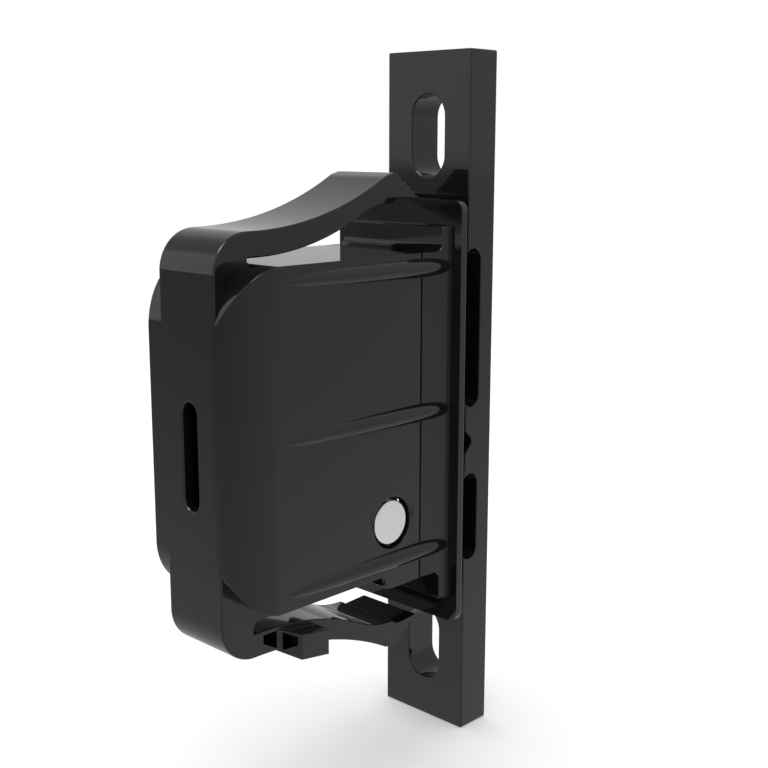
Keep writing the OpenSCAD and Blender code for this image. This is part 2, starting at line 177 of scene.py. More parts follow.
# Floor: pale paper that keeps the shadow. In reflections it is greyer, and lightest towards one side:
# mean + swing (p . side) / (|p| + soft) + near / (1 + (|p| / reach)^2), with p measured from the object.
# The camera sees it glow a little, more with distance: glow + (glowFar - glow) q / (q + 1), where q is
# (|p| / glowReach)^2
floor = {"z": -50.8, "size": 6000, "colour": "#e6e6e6", "glow": 0.18, "glowFar": 0.46, "glowReach": 450,
         "middle": (0, -25, 0), "mean": 0.41, "swing": 0.15, "side": 20, "soft": 30, "near": 0.35,
         "reach": 130}


def makeFloor(f):
    half = f["size"] * mm / 2
    z = f["z"] * mm
    mesh = bpy.data.meshes.new("floor")
    corners = [(-half, -half, z), (half, -half, z), (half, half, z), (-half, half, z)]
    mesh.from_pydata(corners, [], [(0, 1, 2, 3)])
    made = bpy.data.objects.new("floor", mesh)
    bpy.context.scene.collection.objects.link(made)
    material, tree = newMaterial("palePaper")
    mesh.materials.append(material)
    path = addNode(tree, "ShaderNodeLightPath")
    place = addNode(tree, "ShaderNodeTexCoord")
    away = addNode(tree, "ShaderNodeVectorMath", {"operation": "SUBTRACT", 1: Vector(f["middle"]) * mm},
                   {0: place.outputs["Object"]})
    angle = math.radians(f["side"])
    side = (math.cos(angle), math.sin(angle), 0)
    toward = addNode(tree, "ShaderNodeVectorMath", {"operation": "DOT_PRODUCT", 1: side},
                     {0: away.outputs[0]})
    length = addNode(tree, "ShaderNodeVectorMath", {"operation": "LENGTH"}, {0: away.outputs[0]})
    wide = addMath(tree, "ADD", length.outputs["Value"], f["soft"] * mm)
    share = addMath(tree, "DIVIDE", toward.outputs["Value"], wide)
    swing = addMath(tree, "MULTIPLY_ADD", share, f["swing"], f["mean"])
    ratio = addMath(tree, "DIVIDE", length.outputs["Value"], f["reach"] * mm)
    near = addMath(tree, "DIVIDE", f["near"], addMath(tree, "MULTIPLY_ADD", ratio, ratio, 1.0))
    mirrored = addNode(tree, "ShaderNodeEmission", None, {"Strength": addMath(tree, "ADD", swing, near)})
    matt = addNode(tree, "ShaderNodeBsdfDiffuse", {"Color": linear(f["colour"])})
    far = addMath(tree, "DIVIDE", length.outputs["Value"], f["glowReach"] * mm)
    square = addMath(tree, "MULTIPLY", far, far)
    farShare = addMath(tree, "DIVIDE", square, addMath(tree, "ADD", square, 1.0))
    paper = addMath(tree, "MULTIPLY_ADD", farShare, f["glowFar"] - f["glow"], f["glow"])
    glow = addMath(tree, "MULTIPLY", paper, path.outputs["Is Camera Ray"])
    lit = addNode(tree, "ShaderNodeEmission", None, {"Strength": glow})
    seen = addNode(tree, "ShaderNodeAddShader", None, {0: matt.outputs[0], 1: lit.outputs[0]})
    mixed = addNode(tree, "ShaderNodeMixShader", None,
                    {0: path.outputs["Is Glossy Ray"], 1: seen.outputs[0], 2: mirrored.outputs[0]})
    addNode(tree, "ShaderNodeOutputMaterial", None, {"Surface": mixed.outputs[0]})


makeStudio(studio)
makeLamp(lamp)
makeFloor(floor)
bpy.context.scene.view_settings.view_transform = "Standard"
print("studio made")

# Nylon, injection moulded from a polished tool: black, with a clear gloss over a faint orange peel
nylon = {"colour": "#111112", "ior": 1.5, "roughness": 0.07, "waver": 0.02, "flow": 4.0, "peel": 1.1,
         "peelDepth": 0.0012, "detail": 2.0}


def makeNylon(n):
    material, tree = newMaterial("mouldedBlackNylon")
    place = addNode(tree, "ShaderNodeTexCoord")
    flow = addNode(tree, "ShaderNodeTexNoise", {"Scale": 1 / (n["flow"] * mm), "Detail": n["detail"]},
                   {"Vector": place.outputs["Object"]})
    low, high = n["roughness"] - n["waver"], n["roughness"] + n["waver"]
    rough = addNode(tree, "ShaderNodeMapRange", {"To Min": low, "To Max": high}, {"Value": flow.outputs[0]})
    peel = addNode(tree, "ShaderNodeTexNoise", {"Scale": 1 / (n["peel"] * mm), "Detail": n["detail"]},
                   {"Vector": place.outputs["Object"]})
    bump = addNode(tree, "ShaderNodeBump", {"Strength": 1.0, "Distance": n["peelDepth"] * mm},
                   {"Height": peel.outputs[0]})
    shader = addNode(tree, "ShaderNodeBsdfPrincipled", {"Base Color": linear(n["colour"]), "IOR": n["ior"]},
                     {"Roughness": rough.outputs[0], "Normal": bump.outputs[0]})
    addNode(tree, "ShaderNodeOutputMaterial", None, {"Surface": shader.outputs[0]})
    return material


metal = {"detail": 4.0, "spread": 0.25, "markDepth": 0.002}


# Metal with fine marks; a turned piece has its marks in rings about its axis, which runs along X
def makeMetal(name, colour, roughness, grain, axis=None):
    material, tree = newMaterial(name)
    place = addNode(tree, "ShaderNodeTexCoord")
    if axis is None:
        marks = addNode(tree, "ShaderNodeTexNoise", {"Scale": 1 / (grain * mm), "Detail": metal["detail"]},
                        {"Vector": place.outputs["Object"]})
    else:
        centred = addNode(tree, "ShaderNodeMapping", {"Location": (0, -axis[0] * mm, -axis[1] * mm)},
                          {"Vector": place.outputs["Object"]})
        flat = addNode(tree, "ShaderNodeVectorMath", {"operation": "MULTIPLY", 1: (0, 1, 1)},
                       {0: centred.outputs[0]})
        radius = addNode(tree, "ShaderNodeVectorMath", {"operation": "LENGTH"}, {0: flat.outputs[0]})
        marks = addNode(tree, "ShaderNodeTexNoise",
                        {"noise_dimensions": "1D", "Scale": 1 / (grain * mm), "Detail": metal["detail"]},
                        {"W": radius.outputs["Value"]})
    low, high = roughness * (1 - metal["spread"]), roughness * (1 + metal["spread"])
    rough = addNode(tree, "ShaderNodeMapRange", {"To Min": low, "To Max": high}, {"Value": marks.outputs[0]})
    bump = addNode(tree, "ShaderNodeBump", {"Strength": 1.0, "Distance": metal["markDepth"] * mm},
                   {"Height": marks.outputs[0]})
    shader = addNode(tree, "ShaderNodeBsdfPrincipled", {"Base Color": linear(colour), "Metallic": 1.0},
                     {"Roughness": rough.outputs[0], "Normal": bump.outputs[0]})
    addNode(tree, "ShaderNodeOutputMaterial", None, {"Surface": shader.outputs[0]})
    return material


# Steel, turned: bright, with a soft sheen. Wire, drawn: greyer, with fine marks. Bronze, sintered: dull
nylonMaterial = makeNylon(nylon)
steelMaterial = makeMetal("turnedSteel", "#d2d2d3", 0.28, 0.3)
wireMaterial = makeMetal("drawnWire", "#9a9a9c", 0.35, 0.2)
bronzeMaterial = makeMetal("sinteredBronze", "#b08a4a", 0.45, 0.15)
finishes = {"black_nylon": nylonMaterial, "steel": steelMaterial, "spring_steel": wireMaterial,
            "bronze": bronzeMaterial}
slots = {part["node"]: part["material_slot"] for part in frame["record"]["subparts"]}
bodies = {node: body for body, members in frame["record"]["behaviour"]["bodies"].items() for node in members}
print("materials made")

# Which of X, Y and Z an outline's two directions and its height stand for
planes = {"x": (1, 2, 0), "y": (2, 0, 1), "z": (0, 1, 2)}
# How far from the origin a cutting solid runs where only its outline matters
beyond = 60
# How near to a face the middle of an edge counts as lying in it
touch = 0.05


def meshObject(name, points, faces):
    mesh = bpy.data.meshes.new(name)
    mesh.from_pydata((np.asarray(points) * mm).tolist(), [], faces)
    mesh.validate()
    made = bpy.data.objects.new(name, mesh)
    bpy.context.scene.collection.objects.link(made)
    return made


# A solid whose outline is carried straight from low to high; across "y" it is written as (X, Z)
def prism(name, axis, outline, low, high):
    outline = np.asarray(outline, float)
    if axis == "y":
        outline = outline[:, ::-1]
    after = np.roll(outline, -1, axis=0)
    if (outline[:, 0] * after[:, 1] - after[:, 0] * outline[:, 1]).sum() < 0:
        outline = outline[::-1]
    count = len(outline)
    points = np.zeros((2 * count, 3))
    points[:, planes[axis][0]] = np.tile(outline[:, 0], 2)
    points[:, planes[axis][1]] = np.tile(outline[:, 1], 2)
    points[:, planes[axis][2]] = np.repeat([low, high], count)
    here = np.arange(count)
    beside = np.roll(here, -1)
    sides = np.column_stack([here, beside, beside + count, here + count])
    return meshObject(name, points, [here[::-1].tolist(), (here + count).tolist()] + sides.tolist())


# Points of an arc: centre + radius (cos a, sin a), from start to stop in degrees
def arcPoints(centre, radius, start, stop, steps):
    angle = np.radians(np.linspace(start, stop, steps + 1))
    return np.asarray(centre) + radius * np.column_stack([np.cos(angle), np.sin(angle)])


def circlePoints(centre, radius, steps=96):
    return arcPoints(centre, radius, 0, 360, steps)[:-1]


# A slot with round ends, upright, of a width and a whole length
def stadiumPoints(centre, width, length, steps=24):
    up = np.array([0, (length - width) / 2])
    return np.concatenate([arcPoints(np.asarray(centre) + up, width / 2, 0, 180, steps),
                           arcPoints(np.asarray(centre) - up, width / 2, 180, 360, steps)])


def rectanglePoints(low, high):
    return [(low[0], low[1]), (high[0], low[1]), (high[0], high[1]), (low[0], high[1])]


def roundedPoints(low, high, radius, steps=8):
    (x0, z0), (x1, z1) = low, high
    return np.concatenate([arcPoints((x1 - radius, z1 - radius), radius, 0, 90, steps),
                           arcPoints((x0 + radius, z1 - radius), radius, 90, 180, steps),
                           arcPoints((x0 + radius, z0 + radius), radius, 180, 270, steps),
                           arcPoints((x1 - radius, z0 + radius), radius, 270, 360, steps)])


# Applies a piece's modifiers, so that its mesh is final
def settle(piece):
    bpy.context.view_layer.update()
    graph = bpy.context.evaluated_depsgraph_get()
    mesh = bpy.data.meshes.new_from_object(piece.evaluated_get(graph))
    piece.modifiers.clear()
    piece.data = mesh


# Joins, cuts or crosses a solid with others, which are used up
def carve(target, operation, *tools):
    for tool in tools:
        modifier = target.modifiers.new("carve", "BOOLEAN")
        modifier.operation = operation
        modifier.solver = "EXACT"
        modifier.object = tool
    settle(target)
    for tool in tools:
        bpy.data.objects.remove(tool)
    return target


# Quads between neighbouring rings of points, each ring closed on itself
def ringFaces(rings, around):
    row, column = np.meshgrid(np.arange(rings - 1), np.arange(around), indexing="ij")
    here, beside = row * around + column, row * around + (column + 1) % around
    return np.stack([here, here + around, beside + around, beside], axis=-1).reshape(-1, 4)


# The same with both ends closed by a face
def tubeFaces(rings, around):
    ends = [list(range(around)), list(range((rings - 1) * around, rings * around))[::-1]]
    return ringFaces(rings, around).tolist() + ends


# Points this near are merged (mm), in a surface worked out here and before edges are rounded. Faces this flat
# to each other (degrees) are then joined
cleaning = {"seam": 0.001, "near": 0.0005, "flat": 0.4}
# Edges from sharp degrees stay sharp; weight and threshold make the larger faces lead the shading
shading = {"sharp": 40, "weight": 80, "threshold": 1e-6}


# Merges the points that meet at poles and seams, and turns the faces outwards
def closeMesh(piece):
    work = bmesh.new()
    work.from_mesh(piece.data)
    bmesh.ops.remove_doubles(work, verts=work.verts, dist=cleaning["seam"] * mm)
    bmesh.ops.recalc_face_normals(work, faces=work.faces)
    work.to_mesh(piece.data)
    work.free()


# Rounds hard edges to width times the share that share(middle, direction) gives, from 0 to 1
def roundEdges(piece, width, share=lambda middle, direction: 1.0, angle=30, segments=3):
    work = bmesh.new()
    work.from_mesh(piece.data)
    bmesh.ops.remove_doubles(work, verts=work.verts, dist=cleaning["near"] * mm)
    flat = math.radians(cleaning["flat"])
    bmesh.ops.dissolve_limit(work, angle_limit=flat, verts=work.verts, edges=work.edges)
    weight = work.edges.layers.float.new("bevel_weight_edge")
    for edge in work.edges:
        if len(edge.link_faces) == 2 and edge.calc_face_angle() > math.radians(angle):
            start, stop = (vertex.co / mm for vertex in edge.verts)
            edge[weight] = share((start + stop) / 2, (stop - start).normalized())
    work.to_mesh(piece.data)
    work.free()
    modifier = piece.modifiers.new("roundEdges", "BEVEL")
    modifier.limit_method = "WEIGHT"
    modifier.width = width * mm
    modifier.segments = segments
    modifier.use_clamp_overlap = False
    modifier.loop_slide = False
    modifier.miter_outer = "MITER_ARC"
    settle(piece)


# Gives a piece its material, its shading, the body that it rides on and the nodes that it replaces
def finishPiece(piece, material, body, replaced=()):
    piece.data.materials.clear()
    piece.data.materials.append(material)
    piece.data.shade_smooth()
    piece.data.set_sharp_from_angle(angle=math.radians(shading["sharp"]))
    normals = piece.modifiers.new("evenNormals", "WEIGHTED_NORMAL")
    normals.keep_sharp = True
    normals.weight = shading["weight"]
    normals.thresh = shading["threshold"]
    if body:
        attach(piece, body)
    if replaced:
        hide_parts(*replaced)


# Housing: where a side view and a plan view cross, hollow and open towards the front frame
housing = {"front": -49.7, "far": -8.2, "near": 10.1, "top": 23.5, "bottom": -20.4,
           "topCorner": (6.3, 8.75), "lowCorner": (6.0, 6.9), "edgeR": 5.8,
           "wall": 1.6, "seam": -18.2, "tabStart": -25.4, "tabLow": -22.4, "tabR": 1.8, "pin": (-23.6, -13.0),
           "holeR": 3.6, "bossR": 5.0, "boreR": 3.17, "bossEnd": -3.26, "bossRound": 0.2,
           "slotAt": (-0.1, -0.7), "slot": (2.9, 14.0), "round": 0.3, "slant": 0.98, "crease": 0.22,
           "creaseAngle": 12, "recess": 0.5}


# Side view as (Y, Z), drawn in by inset, with two elliptic front corners and, if wanted, the tab below
def housingSide(h, inset, back, tab):
    front, top, low = h["front"] + inset, h["top"] - inset, h["bottom"] + inset
    high, foot = np.array(h["topCorner"]) - inset, np.array(h["lowCorner"]) - inset
    parts = [[(back, top)], arcPoints((front + high[0], top - high[1]), high, 90, 180, 28),
             arcPoints((front + foot[0], low + foot[1]), foot, 180, 270, 28)]
    if tab:
        corner = (h["tabStart"] + h["tabR"], h["tabLow"] + h["tabR"])
        parts += [[(h["tabStart"], low)], arcPoints(corner, h["tabR"], 180, 270, 12), [(back, h["tabLow"])]]
    else:
        parts += [[(back, low)]]
    return np.concatenate(parts)


# Plan view as (X, Y), drawn in by inset, with one round corner on the ribbed side
def housingPlan(h, inset, back):
    front, r = h["front"] + inset, h["edgeR"] - inset
    far, near = h["far"] + inset, h["near"] - inset
    return np.concatenate([[(far, back), (far, front)], arcPoints((near - r, front + r), r, -90, 0, 32),
                           [(near, back)]])


# The back edge meets the front frame and stays sharp. The creases that run across the two front corners are
# less round than the other edges
def housingShare(middle, direction, h):
    if middle.y > h["seam"] - touch:
        return 0.0
    slanted = max(abs(direction.x), abs(direction.z)) < h["slant"]
    corner = middle.z > h["top"] - h["topCorner"][1] or middle.z < h["bottom"] + h["lowCorner"][1]
    return h["crease"] if slanted and corner and middle.x > 0 else 1.0


# The strap's own pieces lie in a shallow recess of the housing's front
def makeHousing(h, s):
    back, past = h["seam"], 2.0
    shell = prism("housing", "x", housingSide(h, 0, back, True), h["far"], h["near"] + past)
    shell = carve(shell, "INTERSECT", prism("plan", "z", housingPlan(h, 0, back + past), -beyond, beyond))
    side = housingSide(h, h["wall"], back + past, False)
    hollow = prism("hollow", "x", side, h["far"] + h["wall"], h["near"])
    plan = housingPlan(h, h["wall"], back + 2 * past)
    hollow = carve(hollow, "INTERSECT", prism("plan", "z", plan, -beyond, beyond))
    near, front = h["near"], h["front"]
    pinHole = prism("pinHole", "x", circlePoints(h["pin"], h["holeR"]), near - 2 * past, near + past)
    slot = prism("slot", "y", stadiumPoints(h["slotAt"], *h["slot"]), front - past, front + 2 * past)
    shell = carve(shell, "DIFFERENCE", hollow, pinHole, slot)
    roundEdges(shell, h["round"], lambda middle, way: housingShare(middle, way, h), h["creaseAngle"])
    under = s["half"] - s["edge"]
    recesses = []
    for z0, z1 in ((s["join"][0], beyond), (-beyond, -s["join"][1])):
        outline = rectanglePoints((front - past, z0), (front + h["recess"], z1))
        recesses.append(prism("recess", "x", outline, -under, under))
    shell = carve(shell, "DIFFERENCE", *recesses)
    finishPiece(shell, nylonMaterial, "latch_body", ["housing_shell"])
    low, high = h["far"] + h["wall"] / 2, h["bossEnd"]
    boss = prism("pinBoss", "x", circlePoints(h["pin"], h["bossR"], 64), low, high)
    bore = prism("bore", "x", circlePoints(h["pin"], h["boreR"], 64), low - past, high + past)
    boss = carve(boss, "DIFFERENCE", bore)
    roundEdges(boss, h["bossRound"])
    finishPiece(boss, nylonMaterial, "latch_body")


# Strap and snap arms: a side view from the housing's front round its corner to the toothed tip
strap = {"half": 5.42, "edge": 0.28, "front": -49.7, "join": (15.2, 14.1), "top": 27.5, "bendR": 5.3,
         "rootY": -44.3, "rootZ": 24.2, "innerFlat": 1.3, "outerFlat": 0.8, "outR": 48.0, "inR": 40.0,
         "turnR": 14.0, "turnY": -25.0, "tip": (-17.8, 33.95), "nose": (2.2, 0.8, 0.05), "teeth": 5,
         "tooth": (0.83, 0.64), "lean": 0.15, "slope": 0.04, "lip": (30.4, 1.2, 0.2), "lipStep": 0.05,
         "gapEnd": (-44.2, 23.92), "gapR": 0.28, "deep": 0.8, "cornerArc": (97, 177), "foot": (-46.5, 18.0),
         "slotY": -44.7, "slotDeep": 1.7, "slotR": (0.35, 1.25), "fillEnd": (-41.3, 19.4),
         "sunk": (-49, 24.1), "teethShare": 0.25, "armShare": 0.5, "fade": (-46, -40)}


# Both faces of the arm are long arcs; near the tip the inner one turns over, and the outer one ends in teeth
def armOutline(s):
    innerY, outerY = s["rootY"] + s["innerFlat"], s["rootY"] + s["outerFlat"]
    noseLength, noseFlat, noseDrop = s["nose"]
    lipZ, lipLength, lipRise = s["lip"]
    y, z = s["tip"]
    outAngle = math.degrees(math.asin((y - noseLength - outerY) / s["outR"]))
    inAngle = math.degrees(math.asin((s["turnY"] - innerY) / s["inR"]))
    inCentre = np.array([innerY, s["rootZ"] + s["inR"]])
    way = np.array([math.sin(math.radians(inAngle)), -math.cos(math.radians(inAngle))])
    turn = inCentre + (s["inR"] + s["turnR"]) * way
    outer = arcPoints((outerY, s["top"] + s["outR"]), s["outR"], -90, -90 + outAngle, 28)
    deep, tall = s["tooth"]
    steps = np.arange(s["teeth"])
    peaks = np.column_stack([y + steps * deep, z - steps * tall])
    roots = np.column_stack([y + steps * deep + s["lean"], z - (steps + 1) * tall + s["slope"]])
    teeth = np.stack([peaks, roots], axis=1).reshape(-1, 2)
    last = y + s["teeth"] * deep
    lip = [(last, z - s["teeth"] * tall), (last + s["lipStep"], lipZ), (turn[0] + lipLength, lipZ + lipRise),
           (turn[0] + lipLength / 2, lipZ)]
    return np.concatenate([outer, [(y - noseFlat, z + noseDrop)], teeth, lip,
                           arcPoints(turn, s["turnR"], 90, 90 + inAngle, 10),
                           arcPoints(inCentre, s["inR"], -90 + inAngle, -90, 24)])


# The strap's face up from the seam, and a quarter circle round to the arm
def bendOutline(s, join):
    centre = (s["front"] + s["bendR"], s["top"] - s["bendR"])
    return np.concatenate([[(s["front"], join)], arcPoints(centre, s["bendR"], 180, 90, 24)])


# Above, the gap under the arm has a round end, and the strap below it is one with the housing's corner
def upperOutline(s, h):
    corner = np.array(h["topCorner"])
    centre = (h["front"] + corner[0], h["top"] - corner[1])
    return np.concatenate([bendOutline(s, s["join"][0]), armOutline(s),
                           arcPoints(s["gapEnd"], s["gapR"], 90, 270, 10),
                           arcPoints(centre, corner - s["deep"], *s["cornerArc"], 12)])


# Below, the bend is filled up to the housing's floor and ends in a round slot
def lowerOutline(s):
    join, y, z = s["join"][1], s["slotY"], s["rootZ"]
    small, big = s["slotR"]
    fill = z - s["slotDeep"]
    inner = [(s["fillEnd"][0], fill), s["fillEnd"], s["foot"], (s["foot"][0], join)]
    return np.concatenate([bendOutline(s, join), armOutline(s),
                           arcPoints((y + small, z - small), small, 90, 180, 6),
                           arcPoints((y + big, fill + big), big, 180, 270, 12), inner]) * np.array([1, -1])


# Squeeze lug on the side of the lower arm, with a cored window in its root and one in itself
lug = {"y": (-40.6, -38.2, -33.3), "top": (-24.6, -25.5, -26.2), "under": (-27.7, -29.1, -29.8), "out": 2.2,
       "rootWindow": [(-43, -24.8), (-40.7, -24.8), (-40.7, -27.3), (-43, -26)],
       "lugWindow": [(-40.1, -25.1), (-38.6, -25.8), (-38.6, -27), (-40.1, -27.6)], "deep": 2.6}


# The bend's long edges get the whole rounding, the arm's and the teeth's less. What lies in the housing stays
# sharp, as does the seam that the strap shares with the housing's front
def strapShare(middle, direction, s, join):
    start, stop = s["fade"]
    within = abs(middle.z) < s["sunk"][1] and middle.y > s["sunk"][0]
    if within or abs(middle.z) <= join + 2 * touch:
        return 0.0
    if abs(direction.x) > 0.9:
        return s["teethShare"]
    return 1.0 - (1 - s["armShare"]) * min(max((middle.y - start) / (stop - start), 0), 1)


# Its plan widens in a slant from the arm's side, and is cut to its side outline
def makeLug(s, g):
    root, out = s["half"] - 1, s["half"] + g["out"]
    y0, y1, y2 = g["y"]
    plan = [(root, y0), (s["half"], y0), (out, y1), (out, y2), (root, y2)]
    side = list(zip(g["y"], g["top"])) + list(zip(g["y"], g["under"]))[::-1]
    squeeze = prism("lug", "z", plan, -beyond, beyond)
    return carve(squeeze, "INTERSECT", prism("lugSide", "x", side, -beyond, beyond))


# Each arm is a band of even width; the lower one carries the lug
def makeStraps(s, g, h):
    half = s["half"]
    upper = prism("upperStrap", "x", upperOutline(s, h), -half, half)
    lower = prism("lowerStrap", "x", lowerOutline(s), -half, half)
    lower = carve(lower, "UNION", makeLug(s, g))
    for piece, join in ((upper, s["join"][0]), (lower, s["join"][1])):
        roundEdges(piece, s["edge"], lambda middle, way: strapShare(middle, way, s, join))
    windows = [prism("window", "x", g[name], half - g["deep"], half + g["out"] + 1)
               for name in ("rootWindow", "lugWindow")]
    lower = carve(lower, "DIFFERENCE", *windows)
    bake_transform(upper)
    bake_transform(lower)
    finishPiece(upper, nylonMaterial, None, ["upper_snap_arm"])
    finishPiece(lower, nylonMaterial, None, ["lower_snap_arm"])


makeHousing(housing, strap)
print("housing made")
makeStraps(strap, lug, housing)
print("straps made")

# Front frame: its sides flare towards the flange, first straight and then in a hollow curve at the collar
frontFrame = {"start": -17.9, "collar": -14.3, "panel": -13.05, "back": -11.69, "top": 23.5, "low": -22.4,
              "fillet": 1.0, "middle": 0.2, "collarHigh": 53.3, "lap": 0.25, "lean": 0.125, "bulge": 0.25,
              "power": 2.6, "uEnd": 1.12, "round": 0.2, "mouth": ((-6.3, -17.6), (6.3, 16.5)),
              "flange": (23.6, 60.3), "flangeX": 0.95, "flangeR": 1.4, "rim": 0.4, "mouthShare": 0.4,
              "spigotY": (-20.8, -17.8), "spigotX": ((-6.5, -6.35), (6.35, 8.4)), "spigotZ": (-5, 16.6, 21.8),
              "spigotRound": 0.15}


# Half width: near + lean (y - start) + bulge u^power, with u from 0 at the fillet to 1 at the flange, and on
# to uEnd inside it
def framePlan(f, h):
    u = np.linspace(0, f["uEnd"], 15)
    fillet = f["collar"] - f["fillet"]
    y = np.concatenate([[f["start"]], fillet + u * (f["panel"] - fillet)])
    curve = f["bulge"] * np.concatenate([[0], u ** f["power"]])
    near = np.column_stack([h["near"] + f["lean"] * (y - f["start"]) + curve, y])
    far = np.column_stack([h["near"] + h["far"] - near[:, 0], near[:, 1]])
    return np.concatenate([near, far[::-1]])


# The flange's rim is round at its back, the mouth's edges are only broken, and the panel side stays sharp
def flangeShare(middle, f):
    if middle.y < f["back"] - touch:
        return 0.0
    (x0, z0), (x1, z1) = f["mouth"]
    inWidth = x0 - 2 * touch < middle.x < x1 + 2 * touch
    inHeight = z0 - 2 * touch < middle.z < z1 + 2 * touch
    return f["mouthShare"] if inWidth and inHeight else 1.0


# The frame's body is where a side view and framePlan cross; the flange and the spigot are pieces of their own
def makeFrontFrame(f, h):
    r, inside = f["fillet"], f["panel"] + f["lap"]
    low, high = f["middle"] - f["collarHigh"] / 2, f["middle"] + f["collarHigh"] / 2
    side = np.concatenate([[(f["start"], f["low"]), (f["start"], f["top"])],
                           arcPoints((f["collar"] - r, f["top"] + r), r, -90, 0, 8),
                           [(f["collar"], high), (inside, high), (inside, low), (f["collar"], low)],
                           arcPoints((f["collar"] - r, f["low"] - r), r, 0, 90, 8)])
    body = prism("frameBody", "x", side, -beyond, beyond)
    mouth = rectanglePoints(*f["mouth"])
    body = carve(body, "INTERSECT", prism("plan", "z", framePlan(f, h), -beyond, beyond))
    body = carve(body, "DIFFERENCE", prism("mouth", "y", mouth, -beyond, beyond))
    start, stop = f["start"] + touch, inside - touch
    roundEdges(body, f["round"], lambda middle, way: 1.0 if start < middle.y < stop else 0.0)
    finishPiece(body, nylonMaterial, "latch_body", ["front_frame"])
    halfX, halfZ = f["flange"][0] / 2, f["flange"][1] / 2
    outline = roundedPoints((f["flangeX"] - halfX, f["middle"] - halfZ),
                            (f["flangeX"] + halfX, f["middle"] + halfZ), f["flangeR"])
    flange = prism("flange", "y", outline, f["panel"], f["back"])
    flange = carve(flange, "DIFFERENCE", prism("mouth", "y", mouth, -beyond, beyond))
    roundEdges(flange, f["rim"], lambda middle, way: flangeShare(middle, f))
    finishPiece(flange, nylonMaterial, "latch_body")
    (x0, x1), (x2, x3) = f["spigotX"]
    z0, z1, z2 = f["spigotZ"]
    arch = [(x0, z0), (x1, z0), (x1, z1), (x2, z1), (x2, z0), (x3, z0), (x3, z2), (x0, z2)]
    spigot = prism("spigot", "y", arch, *f["spigotY"])
    roundEdges(spigot, f["spigotRound"])
    finishPiece(spigot, nylonMaterial, "latch_body")


makeFrontFrame(frontFrame, housing)
print("front frame made")

# Crush ribs: the outer part of a long spindle that lies sunk in the wall
rib = {"count": 3, "middle": 1.55, "pitch": 19.9, "radius": 1.45, "out": 0.83, "sink": 0.2, "end": -13.0,
       "full": -20.85, "straight": -18.85, "taper": 26.0, "depth": 1.2}


# Radius r = R cos a at y = full - taper sin a, where the axis sinks by sink sin a, and R from there to the
# flange; points that lie deeper in the wall than depth are laid flat there
def makeRibs(r, h, along=72, around=48):
    a = np.linspace(math.pi / 2, 0, along)
    y = np.concatenate([r["full"] - r["taper"] * np.sin(a), [r["straight"], r["end"]]])[:, None]
    radius = np.concatenate([r["radius"] * np.cos(a), [r["radius"], r["radius"]]])[:, None]
    turn = np.linspace(0, 2 * math.pi, around, endpoint=False)[None]
    sink = np.concatenate([r["sink"] * np.sin(a), [0, 0]])[:, None]
    axis = h["near"] + r["out"] - r["radius"] - sink
    x = np.maximum(axis + radius * np.cos(turn), h["near"] - r["depth"])
    rows = len(y)
    quads = ringFaces(rows, around)
    cap = (rows - 1) * around + np.arange(around)
    points, faces = [], []
    for number in range(r["count"]):
        z = r["middle"] + (number - (r["count"] - 1) / 2) * r["pitch"] + radius * np.sin(turn)
        points.append(np.stack([x, np.broadcast_to(y, x.shape), z], axis=-1).reshape(-1, 3))
        start = number * rows * around
        faces += (quads + start).tolist() + [(cap + start).tolist()]
    made = meshObject("crushRibs", np.concatenate(points), faces)
    closeMesh(made)
    finishPiece(made, nylonMaterial, "latch_body")


makeRibs(rib, housing)
print("ribs made")

# Keeper plate: a bar with rounded front edges, two screw slots and cored pockets in its long sides
keeper = {"half": 7.9, "height": 50.8, "front": -5.8, "edge": 0.3, "slotAt": 38.9, "slot": (6.2, 11.7),
          "pocketDeep": 3.8, "pocketY": -4.5, "pocketWide": 3.2, "pockets": ((-0.1, 23.1), (-23.6, -10.3)),
          "notchAt": (-5.25, -5.3), "notchR": 0.9, "notchOpen": 2.0, "round": 0.2}


# A notch with sides at 45 degrees and a round end
def notchOutline(k):
    end = arcPoints(k["notchAt"], k["notchR"], -45, 45, 8)
    away = np.array([-k["notchOpen"], k["notchOpen"]])
    return np.concatenate([[end[0] - k["notchOpen"]], end, [end[-1] + away]])


def makeKeeper(k):
    r = k["edge"]
    outline = roundedPoints((-k["half"], -k["height"]), (k["half"], k["height"]), r)
    plate = prism("keeperPlate", "y", outline, k["front"], 0)
    section = np.concatenate([[(k["half"], 1), (-k["half"], 1)],
                              arcPoints((-k["half"] + r, k["front"] + r), r, 180, 270, 8),
                              arcPoints((k["half"] - r, k["front"] + r), r, 270, 360, 8)])
    plate = carve(plate, "INTERSECT", prism("section", "z", section, -beyond, beyond))
    cutters = [prism("slot", "y", stadiumPoints((0, z), *k["slot"]), -beyond, beyond)
               for z in (k["slotAt"], -k["slotAt"])]
    for side in (-1, 1):
        inner, outer = side * (k["half"] - k["pocketDeep"]), side * (k["half"] + 1)
        low, high = min(inner, outer), max(inner, outer)
        for z0, z1 in k["pockets"]:
            pocket = stadiumPoints((k["pocketY"], (z0 + z1) / 2), k["pocketWide"], z1 - z0)
            cutters.append(prism("pocket", "x", pocket, low, high))
        cutters.append(prism("notch", "x", notchOutline(k), low, high))
    plate = carve(plate, "DIFFERENCE", *cutters)
    roundEdges(plate, k["round"])
    finishPiece(plate, nylonMaterial, "keeper", ["keeper_plate"])


makeKeeper(keeper)
print("keeper made")

# Turned pins, which take their place and size from the nodes that they replace
pin = {"nodes": ("pivot_pin", "striker_pin"), "edge": 0.3, "colour": "#ececec", "roughness": 0.28,
       "grain": 0.12}


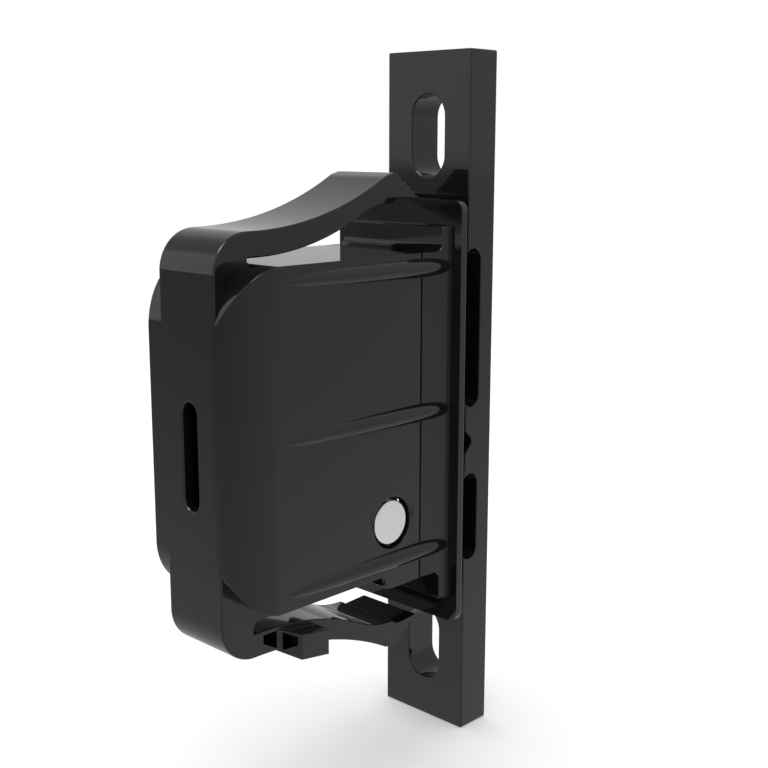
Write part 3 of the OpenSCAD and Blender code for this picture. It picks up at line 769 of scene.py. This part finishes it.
# A profile of (x, r) with rounded ends, spun about an axis parallel to X: y = yc + r cos v, z = zc + r sin v
def makePin(node, s, around=96):
    c = s["edge"]
    low, high = (np.array(corner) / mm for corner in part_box(node))
    centre, r = (low[1:] + high[1:]) / 2, (high[2] - low[2]) / 2
    bend = np.radians(np.linspace(0, 90, 5))
    near = np.column_stack([high[0] - c + c * np.sin(bend), r - c + c * np.cos(bend)])
    far = np.column_stack([low[0] + c - c * np.sin(bend), r - c + c * np.cos(bend)])[::-1]
    profile = np.concatenate([far, near])
    turn = np.linspace(0, 2 * math.pi, around, endpoint=False)
    x = np.repeat(profile[:, :1], around, axis=1)
    y = centre[0] + profile[:, 1:] * np.cos(turn)
    z = centre[1] + profile[:, 1:] * np.sin(turn)
    points = np.stack([x, y, z], axis=-1).reshape(-1, 3)
    made = meshObject(node + "Turned", points, tubeFaces(len(profile), around))
    closeMesh(made)
    material = makeMetal(node + "Steel", s["colour"], s["roughness"], s["grain"], centre)
    finishPiece(made, material, bodies[node], [node])


for pinNode in pin["nodes"]:
    makePin(pinNode, pin)
print("pins made")

# Spring: two whole coils and a half about the pivot, with a straight leg at each end
spring = {"pivot": (-23.6, -13.0), "wire": 0.45, "coilR": 4.95, "startX": 3.81, "pitch": 1.35, "first": 0.5,
          "last": 3.0, "leg": 7.0, "legStart": 0.5, "coilPoints": 161, "legPoints": 8}


# Path (x0 + pitch (t - first), yc + R cos 2 pi t, zc + R sin 2 pi t), with t in turns, lengthened along its
# tangents (0, -sin, cos); a circle is carried along it, square to the way
def makeSpring(s, around=16):
    t = np.linspace(s["first"], s["last"], s["coilPoints"])
    angle = 2 * math.pi * t
    yc, zc = s["pivot"]
    coil = np.column_stack([s["startX"] + s["pitch"] * (t - s["first"]), yc + s["coilR"] * np.cos(angle),
                            zc + s["coilR"] * np.sin(angle)])
    out = np.linspace(s["leg"], s["legStart"], s["legPoints"])[:, None]
    head = coil[:1] - out * np.array([0, -math.sin(angle[0]), math.cos(angle[0])])
    tail = coil[-1:] + out[::-1] * np.array([0, -math.sin(angle[-1]), math.cos(angle[-1])])
    path = np.concatenate([head, coil, tail])
    way = np.gradient(path, axis=0)
    way /= np.linalg.norm(way, axis=1)[:, None]
    across = np.array([1.0, 0, 0]) - way[:, :1] * way
    across /= np.linalg.norm(across, axis=1)[:, None]
    up = np.cross(way, across)
    turn = np.linspace(0, 2 * math.pi, around, endpoint=False)[None, :, None]
    ring = path[:, None] + s["wire"] * (np.cos(turn) * across[:, None] + np.sin(turn) * up[:, None])
    made = meshObject("springWire", ring.reshape(-1, 3), tubeFaces(len(path), around))
    closeMesh(made)
    finishPiece(made, wireMaterial, "latch_body", ["torsion_spring"])


makeSpring(spring)
print("spring made")

# Inner pieces that keep their node's shape and get its edges rounded, by this width
softened = {"striker_fork": 0.35, "pawl": 0.35, "pawl_bush": 0.12, "thrust_washers": 0.08}


# A copy of the node's mesh, merged and rounded
def makeSoftened(node, width):
    made = bpy.data.objects.new(node + "Rounded", frame["nodes"][node].data.copy())
    bpy.context.scene.collection.objects.link(made)
    roundEdges(made, width)
    finishPiece(made, finishes[slots[node]], bodies[node], [node])


for softNode, softWidth in softened.items():
    makeSoftened(softNode, softWidth)
print("inner pieces made")
